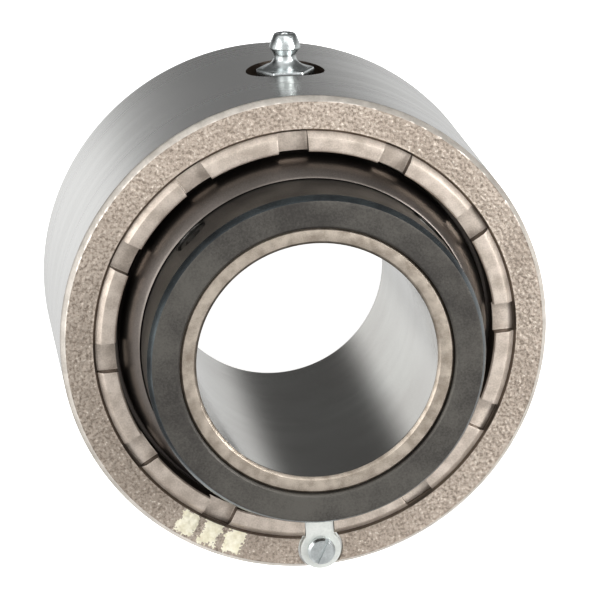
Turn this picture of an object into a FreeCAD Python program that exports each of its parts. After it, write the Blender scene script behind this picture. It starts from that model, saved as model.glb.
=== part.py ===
import FreeCAD, Part
import math
import os
import re

import Sketcher

# A self-aligning roller bearing in a cylindrical cartridge housing for a two inch shaft.
# The origin is the centre of the bearing, where the roller lines of action meet the bore axis.
# +Z runs along the bore to the collar end, +Y points to the grease fitting.

doc = FreeCAD.newDocument("cartridge_bearing_unit")

# Driving dimensions

DIMENSIONS = (
    # shaft side
    ("bore_radius", 25.4), ("ring_length", 76.2), ("ring_wall", 3.5), ("ring_recess", 0.75),
    ("ring_edge", 0.5), ("bore_chamfer", 0.6), ("race_rise", 4.6),
    # rollers and cages
    ("contact_angle", 19.0), ("roller_waist", 4.42), ("roller_length", 10.8), ("roller_count", 14),
    ("running_gap", 0.08), ("cage_wall", 1.8), ("cage_rim", 1.5), ("cage_gap", 0.25),
    # stack along the bore axis, from the bearing centre to either end
    ("cup_back", 20.1), ("cup_width", 11.8), ("end_space", 9.25), ("web_space", 2.1), ("groove_width", 3.9),
    # locking collar and its setscrews
    ("collar_fit", 0.1), ("collar_wall", 6.7), ("collar_length", 17.4), ("collar_proud", 1.0),
    ("collar_chamfer", 0.9), ("collar_slope", 1.8), ("collar_edge", 0.4),
    ("screw_radius", 3.97), ("screw_fit", 0.05), ("tip_gap", 0.6), ("screw_sunk", 0.8),
    ("screw_back", 12.6), ("screw_azimuth", 44.5), ("screw_angle", 90.0),
    ("socket_flats", 3.97), ("socket_depth", 4.2), ("screw_cup", 2.0), ("cup_depth", 0.7),
    ("screw_chamfer", 0.6),
    # floating shields, from the collar outwards
    ("hood_gap", 0.3), ("hood_lean", 3.7), ("hood_rise", 8.6), ("hood_proud", 4.65), ("shield_wall", 0.9),
    ("dish_rise", 3.4), ("lip_wall", 1.8), ("lip_reach", 1.4), ("lip_bevel", 0.45), ("lip_gap", 0.1),
    ("flange_wall", 1.0), ("flange_reach", 1.6), ("flange_play", 0.7),
    # adjusting nut
    ("shield_play", 1.0), ("nut_wall", 4.32), ("nut_proud", 0.8), ("nut_chamfer", 1.2), ("nut_edge", 0.3),
    ("notch_width", 6.4), ("notch_depth", 2.6), ("notch_count", 12),
    # housing
    ("seat_fit", 0.03), ("thread_step", 0.75), ("thread_relief", 1.6), ("housing_wall", 7.35),
    ("housing_chamfer", 1.3), ("mouth_chamfer", 0.5),
    # lock tab and its screw
    ("tab_azimuth", -86.9), ("tab_inset", 4.3), ("tab_radius", 4.4), ("tab_wall", 1.4), ("tab_sunk", 1.0),
    ("tongue_width", 6.1), ("tongue_reach", 3.85), ("spot_play", 0.5), ("tab_screw_radius", 2.08),
    ("tab_screw_depth", 8.0), ("tab_screw_bevel", 0.5), ("tab_hole", 2.3), ("head_radius", 3.0),
    ("head_height", 1.8), ("head_round", 0.5), ("slot_width", 0.8), ("slot_depth", 0.9),
    ("slot_angle", 66.0),
    # grease fitting in its pocket
    ("pocket_radius", 8.6), ("pocket_depth", 2.5), ("shank_radius", 4.9), ("shank_gap", 0.9),
    ("shank_bevel", 0.5), ("hex_flats", 11.1), ("hex_height", 2.6), ("nipple_base", 5.1),
    ("nipple_neck", 2.45), ("cone_height", 2.3), ("neck_height", 0.5), ("nipple_head", 3.35),
    ("head_rise", 1.6), ("head_band", 0.4), ("nipple_tip", 2.3), ("nipple_height", 10.2),
    ("channel_radius", 1.5), ("inlet_radius", 0.9), ("throat_radius", 0.95), ("throat_sunk", 1.4),
    ("spring_seat", 1.0), ("ball_radius", 1.3), ("ball_gap", 0.03), ("coil_radius", 1.05),
    ("wire_radius", 0.17), ("coil_turns", 4),
    # blank raised pads and a plain pip on the cast face
    ("pad_inset", 4.3), ("pad_height", 0.35), ("pad_radial", 5.0), ("pad_across", 3.6),
    ("pad_azimuth", -123.0), ("pad_angle", 6.5), ("pad_count", 3),
    ("pip_inset", 5.3), ("pip_radius", 1.1), ("pip_azimuth", -146.0),
    # how far a cut runs past the surface that it opens
    ("overrun", 1.0),
)

sheet = doc.addObject("Spreadsheet::Sheet", "Dims")
for row, (alias, value) in enumerate(DIMENSIONS, start=1):
    sheet.set(f"A{row}", alias)
    sheet.set(f"B{row}", str(value))
    sheet.setAlias(f"B{row}", alias)
doc.recompute()

SIZES = {alias: float(sheet.get(alias)) for alias, _ in DIMENSIONS}

X_AXIS = FreeCAD.Vector(1, 0, 0)
Y_AXIS = FreeCAD.Vector(0, 1, 0)
Z_AXIS = FreeCAD.Vector(0, 0, 1)


def d(text):
    """Turn words such as 'bore_radius + ring_wall' into an expression on the sheet."""
    return re.sub(r"(?<![.\w])[a-z][a-z_]*", lambda found: (
        f"Dims.{found[0]}" if found[0] in SIZES else found[0]), text)


def number(expression):
    """The present value of an expression."""
    value = sheet.evalExpression(expression)
    return float(getattr(value, "Value", value))


# Places that several pieces share, each worked out from the driving dimensions

FRONT = d("( cup_back + end_space )")
RING_OUTER = d("( bore_radius + ring_wall )")
RACE = d(f"( {RING_OUTER} + race_rise )")
RING_REAR = d(f"( ring_recess - {FRONT} )")
RING_FRONT = d(f"( {RING_REAR} + ring_length )")
COLLAR_FRONT = d(f"( {RING_FRONT} + collar_proud )")
COLLAR_REAR = d(f"( {COLLAR_FRONT} - collar_length )")
COLLAR_BORE = d(f"( {RING_OUTER} + collar_fit )")
COLLAR = d(f"( {COLLAR_BORE} + collar_wall )")
SCREW_PLACE = d(f"( {COLLAR_FRONT} - screw_back )")
SCREW_TIP = d("( bore_radius + tip_gap )")
SCREW_LENGTH = d(f"( {COLLAR} - screw_sunk - {SCREW_TIP} )")
ROLLER_REACH = d(f"( {RACE} + running_gap + roller_waist )")
ROLLER_RADIAL = d(f"( {ROLLER_REACH} * cos( contact_angle ) )")
ROLLER_AXIAL = d(f"( {ROLLER_REACH} * sin( contact_angle ) )")
ROLLER_HALF = d("( roller_length / 2 )")
ROLLER_ARC = d(f"( {RACE} + running_gap )")
ROLLER_END = f"( {ROLLER_REACH} - sqrt( {ROLLER_ARC} ^ 2 - {ROLLER_HALF} ^ 2 ) )"
HOOD_RIM = d(f"( {COLLAR} + hood_gap )")
SHIELD = d(f"( {HOOD_RIM} + hood_lean )")
SHIELD_WEB = d("( cup_back + web_space )")
SHIELD_BORE = d(f"( {RING_OUTER} + lip_gap + lip_reach )")
NUT_BORE = d(f"( {SHIELD} + shield_play )")
FLANGE = d(f"( {NUT_BORE} + flange_reach )")
GROOVE = d(f"( {FLANGE} + flange_play )")
GROOVE_END = d("( cup_back + groove_width )")
FLANGE_BACK = d("( cup_back + groove_width / 2 - flange_wall / 2 )")
FLANGE_FACE = d("( cup_back + groove_width / 2 + flange_wall / 2 )")
NUT_FRONT = d(f"( {FRONT} + nut_proud )")
NUT_OUTER = d(f"( {NUT_BORE} + nut_wall )")
THREAD = d(f"( {NUT_OUTER} + seat_fit )")
SEAT = d(f"( {THREAD} - thread_step )")
CUP_OUTER = d(f"( {SEAT} - seat_fit )")
HOUSING = d(f"( {THREAD} + housing_wall )")
TAB_PLACE = d(f"( {HOUSING} - tab_inset )")
TAB_REAR = d(f"( {FRONT} - tab_sunk )")
TAB_FRONT = d(f"( {FRONT} - tab_sunk + tab_wall )")
POCKET_FLOOR = d(f"( {HOUSING} - pocket_depth )")
THROAT = d("( nipple_height - throat_sunk )")


def around(distance, azimuth):
    """A place at a distance from the bore axis, as two expressions."""
    return d(f"{distance} * cos( {azimuth} )"), d(f"{distance} * sin( {azimuth} )")


# Helpers for sketches and bodies

def new_body(label):
    """An empty body with its own label."""
    body = doc.addObject("PartDesign::Body", label)
    body.Label = label
    return body


def new_sketch(body, name, role="XZ_Plane"):
    """A sketch on one of the body's origin planes."""
    sketch = body.newObject("Sketcher::SketchObject", name)
    plane = next(item for item in body.Origin.OriginFeatures if item.Role == role)
    sketch.AttachmentSupport = (plane, [""])
    sketch.MapMode = "FlatFace"
    return sketch


def pin(sketch, geometry, point, across, along):
    """Hold a sketch point at two distances that follow the sheet."""
    for kind, expression in (("DistanceX", across), ("DistanceY", along)):
        index = sketch.addConstraint(
            Sketcher.Constraint(kind, -1, 1, geometry, point, number(expression)))
        sketch.setExpression(f"Constraints[{index}]", expression)


def closed_outline(sketch, corners, arcs=None):
    """Lines between corners, with an arc (centre across, centre along, radius) after some of them.

    Each corner is a pair of expressions. arcs maps the index of a corner to the arc that leaves it;
    the arc runs the shorter way to the next corner, and both its ends are corners of the outline.
    """
    arcs = arcs or {}
    count = len(corners)
    points = [(number(a), number(b)) for a, b in corners]
    for index, start in enumerate(points):
        end = points[(index + 1) % count]
        if index in arcs:
            centre = tuple(number(text) for text in arcs[index][:2])
            first = math.atan2(start[1] - centre[1], start[0] - centre[0])
            last = math.atan2(end[1] - centre[1], end[0] - centre[0])
            sweep = (last - first) % (2 * math.pi)
            forward = sweep < math.pi
            circle = Part.Circle(FreeCAD.Vector(*centre, 0), Z_AXIS, number(arcs[index][2]))
            span = (first, last) if forward else (last, first)
            sketch.addGeometry(Part.ArcOfCircle(circle, *span), False)
            arcs[index] = (*arcs[index], forward)
        else:
            sketch.addGeometry(Part.LineSegment(FreeCAD.Vector(*start, 0), FreeCAD.Vector(*end, 0)), False)
    for index, corner in enumerate(corners):
        before = (index - 1) % count
        start = (index, 1 if index not in arcs or arcs[index][3] else 2)
        end_before = (before, 2 if before not in arcs or arcs[before][3] else 1)
        pin(sketch, *start, *corner)
        sketch.addConstraint(Sketcher.Constraint("Coincident", *end_before, *start))
    for index, (_, _, radius, _) in arcs.items():
        bound = sketch.addConstraint(Sketcher.Constraint("Radius", index, number(radius)))
        sketch.setExpression(f"Constraints[{bound}]", radius)


def revolve(body, sketch, feature="PartDesign::Revolution"):
    """Turn a sketch once round its vertical axis."""
    turned = body.newObject(feature, f"{sketch.Name}_turned")
    turned.Profile = sketch
    turned.ReferenceAxis = (sketch, ["V_Axis"])
    turned.Angle = 360
    sketch.Visibility = False
    return turned


def turned_body(label, corners, arcs=None):
    """A body turned from one outline of (radius, height) corners."""
    body = new_body(label)
    sketch = new_sketch(body, f"{label}_outline")
    closed_outline(sketch, corners, arcs)
    revolve(body, sketch)
    return body


def mirrored(corners, side):
    """The outline for the front (side 1) or the rear (side -1) of the bearing."""
    return corners if side > 0 else [(across, f"-1 * ( {along} )") for across, along in corners]


def mirrored_arcs(arcs, side):
    """The arcs of an outline for the front or the rear."""
    return {index: (across, along if side > 0 else f"-1 * ( {along} )", radius)
            for index, (across, along, radius) in arcs.items()}


def turn_by(item, prop, axis, angle):
    """Turn an object or a sketch plane about an axis, by an angle that follows the sheet."""
    setattr(item, prop, FreeCAD.Placement(FreeCAD.Vector(0, 0, 0),
                                          FreeCAD.Rotation(axis, number(angle))))
    item.setExpression(f"{prop}.Rotation.Angle", angle)


def circle_sketch(body, name, role, offset, place, radius):
    """A sketch of one circle on a plane that lies at an offset."""
    sketch = new_sketch(body, name, role)
    circle = sketch.addGeometry(Part.Circle(FreeCAD.Vector(0, 0, 0), Z_AXIS, number(radius)), False)
    pin(sketch, circle, 3, *place)
    bound = sketch.addConstraint(Sketcher.Constraint("Radius", circle, number(radius)))
    sketch.setExpression(f"Constraints[{bound}]", radius)
    sketch.setExpression("AttachmentOffset.Base.z", offset)
    return sketch


def cut_circle(body, name, role, offset, place, radius, depth, turn=None, upward=False):
    """Drill a round pocket from a plane; turn swings the plane about the bore axis."""
    sketch = circle_sketch(body, name, role, offset, place, radius)
    if turn is not None:
        turn_by(sketch, "AttachmentOffset", Y_AXIS, turn)
    pocket = body.newObject("PartDesign::Pocket", f"{name}_cut")
    pocket.Profile = sketch
    pocket.setExpression("Length", depth)
    pocket.Reversed = upward
    sketch.Visibility = False
    return pocket


def ring_of(body, feature, count, angle=None):
    """Repeat a feature round the bore axis."""
    pattern = body.newObject("PartDesign::PolarPattern", f"{feature.Name}_ring")
    pattern.Originals = [feature]
    axis = next(item for item in body.Origin.OriginFeatures if item.Role == "Z_Axis")
    pattern.Axis = (axis, [""])
    pattern.Angle = 360
    if angle is not None:
        pattern.setExpression("Angle", angle)
    pattern.setExpression("Occurrences", count)
    body.Tip = pattern
    return pattern


def sideways(azimuth):
    """The direction square to an azimuth; a turn about it leans local Z along that azimuth."""
    around = math.radians(number(azimuth))
    return FreeCAD.Vector(math.sin(around), -math.cos(around), 0)


def place_by(item, base, axis, angle):
    """Place a sub-part: base is three expressions, then the axis and the angle of its turn."""
    turn_by(item, "Placement", axis, angle)
    for letter, expression in zip("xyz", base):
        item.setExpression(f"Placement.Base.{letter}", expression)


# Housing

def make_housing():
    """Cast cartridge: cylindrical seat outside, stepped bore, rear lip, threaded front."""
    chamfer = d("housing_chamfer")
    thread_end = d("( cup_back - thread_relief )")
    mouth = d("mouth_chamfer")
    back = d("cup_back")
    body = turned_body("housing", [
        (f"{THREAD} + {mouth}", FRONT), (f"{HOUSING} - {chamfer}", FRONT),
        (HOUSING, f"{FRONT} - {chamfer}"), (HOUSING, f"{chamfer} - {FRONT}"),
        (f"{HOUSING} - {chamfer}", f"-1 * {FRONT}"), (f"{NUT_BORE} + {mouth}", f"-1 * {FRONT}"),
        (NUT_BORE, f"{mouth} - {FRONT}"), (NUT_BORE, f"-1 * {GROOVE_END}"),
        (GROOVE, f"-1 * {GROOVE_END}"), (GROOVE, f"-1 * {back}"),
        (SEAT, f"-1 * {back}"), (SEAT, thread_end), (THREAD, thread_end), (THREAD, f"{FRONT} - {mouth}"),
    ])
    # three blank raised pads on the cast face, side by side
    pad_sketch = new_sketch(body, "pad_outline", "XY_Plane")
    turn_by(pad_sketch, "AttachmentOffset", Z_AXIS, d("pad_azimuth"))
    pad_sketch.setExpression("AttachmentOffset.Base.z", FRONT)
    middle = d(f"( {HOUSING} - pad_inset )")
    inner, outer = d(f"{middle} - pad_radial / 2"), d(f"{middle} + pad_radial / 2")
    side = d("pad_across / 2")
    closed_outline(pad_sketch, [(inner, f"-1 * {side}"), (outer, f"-1 * {side}"),
                                (outer, side), (inner, side)])
    pad = body.newObject("PartDesign::Pad", "cast_pad")
    pad.Profile = pad_sketch
    pad.setExpression("Length", d("pad_height"))
    pad_sketch.Visibility = False
    ring_of(body, pad, d("pad_count"), d("pad_angle * ( pad_count - 1 )"))
    # plain round pip beside the pads
    pip_place = around(f"( {HOUSING} - pip_inset )", "pip_azimuth")
    pip_sketch = circle_sketch(body, "pip_outline", "XY_Plane", FRONT, pip_place, d("pip_radius"))
    pip = body.newObject("PartDesign::Pad", "cast_pip")
    pip.Profile = pip_sketch
    pip.setExpression("Length", d("pad_height"))
    pip_sketch.Visibility = False
    # spotface and tapped hole of the lock tab, across from the fitting
    tab_place = around(TAB_PLACE, "tab_azimuth")
    cut_circle(body, "tab_spotface", "XY_Plane", TAB_REAR, tab_place, d("tab_radius + spot_play"),
               d("tab_sunk + pad_height + overrun"), upward=True)
    cut_circle(body, "tab_tapped", "XY_Plane", TAB_REAR, tab_place, d("tab_screw_radius + seat_fit"),
               d("tab_screw_depth"))
    # pocket and tapped hole of the grease fitting, in the middle of the width
    cut_circle(body, "fitting_pocket", "XZ_Plane", f"-1 * {POCKET_FLOOR}", ("0", "0"), d("pocket_radius"),
               d("pocket_depth + overrun"))
    cut_circle(body, "fitting_tapped", "XZ_Plane", f"-1 * {POCKET_FLOOR}", ("0", "0"),
               d("shank_radius + seat_fit"), d(f"{POCKET_FLOOR} - {SEAT} + overrun"), upward=True)
    return body


# Adjusting nut

def make_adjusting_nut():
    """Ring nut with notches across its whole front face and a groove for the seal flange."""
    chamfer = d("nut_chamfer")
    edge = d("nut_edge")
    back = d("cup_back")
    body = turned_body("adjusting_nut", [
        (f"{NUT_BORE} + {edge}", NUT_FRONT), (f"{NUT_OUTER} - {chamfer}", NUT_FRONT),
        (NUT_OUTER, f"{NUT_FRONT} - {chamfer}"), (NUT_OUTER, back), (GROOVE, back),
        (GROOVE, GROOVE_END), (NUT_BORE, GROOVE_END), (NUT_BORE, f"{NUT_FRONT} - {edge}"),
    ])
    sketch = new_sketch(body, "notch_outline", "XY_Plane")
    turn_by(sketch, "AttachmentOffset", Z_AXIS, d("tab_azimuth"))
    sketch.setExpression("AttachmentOffset.Base.z", d(f"{NUT_FRONT} - notch_depth"))
    half = d("( notch_width / 2 )")
    inner, outer = d(f"{NUT_BORE} - overrun"), d(f"{THREAD} + overrun")
    closed_outline(sketch, [(inner, f"-1 * {half}"), (outer, f"-1 * {half}"), (outer, half), (inner, half)])
    notch = body.newObject("PartDesign::Pocket", "notch")
    notch.Profile = sketch
    notch.setExpression("Length", d("notch_depth + overrun"))
    notch.Reversed = True
    sketch.Visibility = False
    ring_of(body, notch, d("notch_count"))
    return body


# Outer rings

def make_cup(label, side):
    """Outer ring whose convex raceway is the mirror image of the race sphere across the roller line."""
    reach = f"( 2 * {ROLLER_REACH} )"
    centre_radial = d(f"( {reach} * cos( contact_angle ) )")
    centre_axial = d(f"( {reach} * sin( contact_angle ) )")
    back = d("cup_back")
    face = d("( cup_back - cup_width )")
    thick = f"( {centre_radial} - sqrt( {RACE} ^ 2 - ( {centre_axial} - {back} ) ^ 2 ) )"
    thin = f"( {centre_radial} - sqrt( {RACE} ^ 2 - ( {centre_axial} - {face} ) ^ 2 ) )"
    corners = [(CUP_OUTER, back), (thick, back), (thin, face), (CUP_OUTER, face)]
    return turned_body(label, mirrored(corners, side),
                       mirrored_arcs({1: (centre_radial, centre_axial, RACE)}, side))


# Floating shields and their lips

def make_front_shield():
    """Pressed shield with a flange, a web to the lip and a hood that curves in to the collar."""
    wall = d("shield_wall")
    inside = f"{SHIELD} - {wall}"
    front = d(f"( {FRONT} + hood_proud )")
    waist = d(f"( {front} - hood_rise )")
    # the hood is one arc that leaves the straight wall smoothly and ends in an upright rim
    radius = d("( ( hood_lean ^ 2 + hood_rise ^ 2 ) / ( 2 * hood_lean ) )")
    centre = f"( {SHIELD} - {radius} )"
    inner_radius = f"( {radius} - {wall} )"
    rim_rear = f"{waist} + sqrt( {inner_radius} ^ 2 - ( {HOOD_RIM} - {centre} ) ^ 2 )"
    return turned_body("seal_front", [
        (FLANGE, FLANGE_FACE), (SHIELD, FLANGE_FACE), (SHIELD, waist), (HOOD_RIM, front),
        (HOOD_RIM, rim_rear), (inside, waist), (inside, f"{SHIELD_WEB} + {wall}"),
        (SHIELD_BORE, f"{SHIELD_WEB} + {wall}"), (SHIELD_BORE, SHIELD_WEB), (inside, SHIELD_WEB),
        (FLANGE, FLANGE_BACK),
    ], {2: (centre, waist, radius), 4: (centre, waist, inner_radius)})


def make_rear_shield():
    """Pressed shield of the rear end: the same flange, dished out to its lip."""
    wall = d("shield_wall")
    dish = d(f"( {SHIELD_WEB} + dish_rise )")
    foot = d(f"( {SHIELD} - dish_rise )")
    corners = [
        (FLANGE, FLANGE_FACE), (SHIELD, FLANGE_FACE), (foot, f"{dish} + {wall}"),
        (SHIELD_BORE, f"{dish} + {wall}"), (SHIELD_BORE, dish), (f"{foot} - {wall} / 2", dish),
        (f"{SHIELD} - {wall}", FLANGE_BACK), (FLANGE, FLANGE_BACK),
    ]
    return turned_body("seal_rear", mirrored(corners, -1))


def make_lip(label, side, web):
    """Lip ring bonded to the inner edge of a shield, running just clear of the inner ring."""
    inner = d(f"( {RING_OUTER} + lip_gap )")
    low = d(f"( {web} + shield_wall / 2 - lip_wall / 2 )")
    high = d(f"( {web} + shield_wall / 2 + lip_wall / 2 )")
    relief = d("lip_bevel")
    corners = [(inner, f"{low} + {relief}"), (f"{inner} + {relief}", low), (SHIELD_BORE, low),
               (SHIELD_BORE, high), (f"{inner} + {relief}", high), (inner, f"{high} - {relief}")]
    return turned_body(label, mirrored(corners, side))


# Inner ring and locking collar

def make_inner_ring():
    """Extended ring, bored through, with one spherical race for both rows of rollers."""
    bore = d("bore_radius")
    edge = d("ring_edge")
    chamfer = d("bore_chamfer")
    foot = d(f"sqrt( {RACE} ^ 2 - {RING_OUTER} ^ 2 )")
    body = turned_body("inner_ring", [
        (f"{bore} + {chamfer}", RING_REAR), (f"{RING_OUTER} - {edge}", RING_REAR),
        (RING_OUTER, f"{RING_REAR} + {edge}"), (RING_OUTER, f"-1 * {foot}"), (RING_OUTER, foot),
        (RING_OUTER, f"{RING_FRONT} - {edge}"), (f"{RING_OUTER} - {edge}", RING_FRONT),
        (f"{bore} + {chamfer}", RING_FRONT), (bore, f"{RING_FRONT} - {chamfer}"),
        (bore, f"{RING_REAR} + {chamfer}"),
    ], {3: ("0", "0", RACE)})
    hole = screw_hole(body, "ring_hole", d("screw_radius + screw_fit"), "0", RING_OUTER)
    ring_of(body, hole, "2", d("screw_angle"))
    return body


def screw_hole(body, name, radius, start, end):
    """A radial hole at the first setscrew, from one radius out to another."""
    return cut_circle(body, name, "XZ_Plane", f"-1 * ( {start} )", ("0", SCREW_PLACE), radius,
                      d(f"{end} - {start} + overrun"), turn=d("screw_azimuth - 90"))


def make_locking_collar():
    """Collar clamped on the extended ring by two setscrews."""
    edge = d("collar_edge")
    body = turned_body("locking_collar", [
        (f"{COLLAR_BORE} + {edge}", COLLAR_FRONT), (d(f"{COLLAR} - collar_chamfer"), COLLAR_FRONT),
        (COLLAR, d(f"{COLLAR_FRONT} - collar_slope")), (COLLAR, f"{COLLAR_REAR} + {edge}"),
        (f"{COLLAR} - {edge}", COLLAR_REAR), (COLLAR_BORE, COLLAR_REAR),
        (COLLAR_BORE, f"{COLLAR_FRONT} - {edge}"),
    ])
    hole = screw_hole(body, "collar_hole", d("screw_radius + screw_fit"), "0", COLLAR)
    ring_of(body, hole, "2", d("screw_angle"))
    return body


def make_setscrew(label, azimuth):
    """Socket setscrew, made along its own axis and set radially in the collar."""
    radius, length = d("screw_radius"), SCREW_LENGTH
    chamfer, cup = d("screw_chamfer"), d("screw_cup")
    body = turned_body(label, [
        ("0", d("cup_depth")), (cup, "0"), (f"{radius} - {chamfer}", "0"), (radius, chamfer),
        (radius, f"{length} - {chamfer}"), (f"{radius} - {chamfer}", length), ("0", length),
    ])
    hexagon_cut(body, f"{label}_socket", d("socket_flats"), length, d("socket_depth"))
    place_by(body, (*around(SCREW_TIP, azimuth), SCREW_PLACE), sideways(azimuth), "-90")
    return body


def hexagon(sketch, flats):
    """A regular hexagon about the sketch origin, by its width across flats."""
    corners = [(f"{flats} / sqrt( 3 ) * cos( {60 * step} )", f"{flats} / sqrt( 3 ) * sin( {60 * step} )")
               for step in range(6)]
    closed_outline(sketch, corners)


def hexagon_cut(body, name, flats, top, depth):
    """A hexagon socket cut down from a height."""
    sketch = new_sketch(body, name, "XY_Plane")
    sketch.setExpression("AttachmentOffset.Base.z", top)
    hexagon(sketch, flats)
    pocket = body.newObject("PartDesign::Pocket", f"{name}_cut")
    pocket.Profile = sketch
    pocket.setExpression("Length", depth)
    sketch.Visibility = False
    return pocket


# Rollers and cages

def roller_base(side, azimuth):
    """Centre of a roller as three expressions."""
    return (*around(ROLLER_RADIAL, azimuth), f"{side} * {ROLLER_AXIAL}")


def make_roller(label, side, azimuth):
    """Hourglass roller whose hollow flank matches the race sphere."""
    body = turned_body(label, [
        ("0", f"-1 * {ROLLER_HALF}"), (ROLLER_END, f"-1 * {ROLLER_HALF}"), (ROLLER_END, ROLLER_HALF),
        ("0", ROLLER_HALF),
    ], {1: (ROLLER_REACH, "0", ROLLER_ARC)})
    place_by(body, roller_base(side, azimuth), sideways(azimuth), d(f"{side} * contact_angle"))
    return body


def make_cage(label, side):
    """Cone-shaped cage on the roller line, with one round-bored window for each roller."""
    lean_sin, lean_cos = d("sin( contact_angle )"), d("cos( contact_angle )")
    reach = d("( roller_length / 2 + cage_gap + cage_rim )")
    half = d("( cage_wall / 2 )")
    corners = []
    for along, across in ((-1, 1), (1, 1), (1, -1), (-1, -1)):
        corners.append((
            f"( {ROLLER_RADIAL} - {along} * {reach} * {lean_sin} + {across} * {half} * {lean_cos} )",
            f"( {ROLLER_AXIAL} + {along} * {reach} * {lean_cos} + {across} * {half} * {lean_sin} )"))
    body = turned_body(label, mirrored(corners, side))
    window = body.newObject("PartDesign::SubtractiveCylinder", f"{label}_window")
    window.setExpression("Radius", d(f"{ROLLER_END} + cage_gap"))
    window.setExpression("Height", d("roller_length + 2 * cage_gap"))
    start = d("( roller_length / 2 + cage_gap )")
    place_by(window, (f"{ROLLER_RADIAL} + {side} * {start} * {lean_sin}", "0",
                      f"{side} * {ROLLER_AXIAL} - {start} * {lean_cos}"),
             sideways("0"), d(f"{side} * contact_angle"))
    ring_of(body, window, d("roller_count"))
    return body


# Lock tab and its screw

def make_lock_tab():
    """Flat plate: round about its screw, with a straight tongue into a notch; drawn along local -Y."""
    body = new_body("lock_tab")
    sketch = new_sketch(body, "tab_outline", "XY_Plane")
    sketch.setExpression("AttachmentOffset.Base.z", TAB_REAR)
    half, radius = d("( tongue_width / 2 )"), d("tab_radius")
    centre, end = f"( -1 * {TAB_PLACE} )", d(f"( tongue_reach - {THREAD} )")
    neck = f"( {centre} + sqrt( {radius} ^ 2 - {half} ^ 2 ) )"
    corners = [(f"-1 * {half}", end), (f"-1 * {half}", neck), (f"-1 * {radius}", centre),
               ("0", f"{centre} - {radius}"), (radius, centre), (half, neck), (half, end)]
    closed_outline(sketch, corners, {index: ("0", centre, radius) for index in range(1, 5)})
    plate = body.newObject("PartDesign::Pad", "tab_plate")
    plate.Profile = sketch
    plate.setExpression("Length", d("tab_wall"))
    sketch.Visibility = False
    cut_circle(body, "tab_hole_circle", "XY_Plane", TAB_FRONT, ("0", centre), d("tab_hole"),
               d("tab_wall + overrun"))
    place_by(body, ("0", "0", "0"), Z_AXIS, d("tab_azimuth + 90"))
    return body


def make_lock_screw():
    """Slotted pan-head screw, made along its own axis with the underside of its head at zero."""
    shank, head, height = d("tab_screw_radius"), d("head_radius"), d("head_height")
    crown = d("head_round")
    depth = d("( tab_screw_depth - tab_wall )")
    tip = d("tab_screw_bevel")
    body = turned_body("lock_screw", [
        ("0", f"-1 * {depth}"), (f"{shank} - {tip}", f"-1 * {depth}"), (shank, f"{tip} - {depth}"),
        (shank, "0"), (head, "0"), (head, f"{height} - {crown}"), (f"{head} - {crown}", height),
        ("0", height),
    ])
    sketch = new_sketch(body, "slot_outline", "XY_Plane")
    sketch.setExpression("AttachmentOffset.Base.z", height)
    long, half = d("( head_radius + overrun )"), d("( slot_width / 2 )")
    closed_outline(sketch, [(f"-1 * {long}", f"-1 * {half}"), (long, f"-1 * {half}"), (long, half),
                            (f"-1 * {long}", half)])
    slot = body.newObject("PartDesign::Pocket", "slot")
    slot.Profile = sketch
    slot.setExpression("Length", d("slot_depth"))
    sketch.Visibility = False
    place_by(body, (*around(TAB_PLACE, "tab_azimuth"), TAB_FRONT), Z_AXIS, d("slot_angle"))
    return body


# Grease fitting, its ball and its spring

def make_grease_fitting():
    """Hydraulic nipple on a hexagon base; its own axis starts at the pocket floor."""
    body = new_body("grease_fitting")
    hex_sketch = new_sketch(body, "hex_outline", "XY_Plane")
    hexagon(hex_sketch, d("hex_flats"))
    base = body.newObject("PartDesign::Pad", "hex_base")
    base.Profile = hex_sketch
    base.setExpression("Length", d("hex_height"))
    hex_sketch.Visibility = False
    neck_start = d("( hex_height + cone_height )")
    neck_end = d("( hex_height + cone_height + neck_height )")
    widest = d("( hex_height + cone_height + neck_height + head_rise )")
    inlet, channel, throat = d("inlet_radius"), d("channel_radius"), d("throat_radius")
    seat, top = d("spring_seat"), d("nipple_height")
    shank_end = d(f"( {SEAT} + shank_gap - {POCKET_FLOOR} )")
    shank, bevel = d("shank_radius"), d("shank_bevel")
    outline = new_sketch(body, "nipple_outline")
    closed_outline(outline, [
        ("0", shank_end), (f"{shank} - {bevel}", shank_end), (shank, f"{shank_end} + {bevel}"),
        (shank, "0"), (d("nipple_base"), "0"), (d("nipple_base"), d("hex_height")),
        (d("nipple_neck"), neck_start), (d("nipple_neck"), neck_end), (d("nipple_head"), widest),
        (d("nipple_head"), d(f"{widest} + head_band")), (d("nipple_tip"), top), ("0", top),
    ])
    revolve(body, outline)
    channel_outline = new_sketch(body, "channel_outline")
    slope = f"( {channel} - {throat} )"
    past = d("overrun")
    closed_outline(channel_outline, [
        ("0", f"{shank_end} - {past}"), (inlet, f"{shank_end} - {past}"), (inlet, seat), (channel, seat),
        (channel, f"{THROAT} - {slope}"), (throat, THROAT), (channel, top),
        (channel, f"{top} + {past}"), ("0", f"{top} + {past}"),
    ])
    revolve(body, channel_outline, "PartDesign::Groove")
    place_by(body, ("0", POCKET_FLOOR, "0"), X_AXIS, "-90")
    return body


BALL_CENTRE = d(f"( {THROAT} - sqrt( ball_radius ^ 2 - throat_radius ^ 2 ) - ball_gap )")


def make_check_ball():
    """Ball just under the throat of the fitting."""
    ball = doc.addObject("Part::Sphere", "check_ball")
    ball.Label = "check_ball"
    ball.setExpression("Radius", d("ball_radius"))
    place_by(ball, ("0", f"{POCKET_FLOOR} + {BALL_CENTRE}", "0"), X_AXIS, "-90")
    return ball


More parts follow.
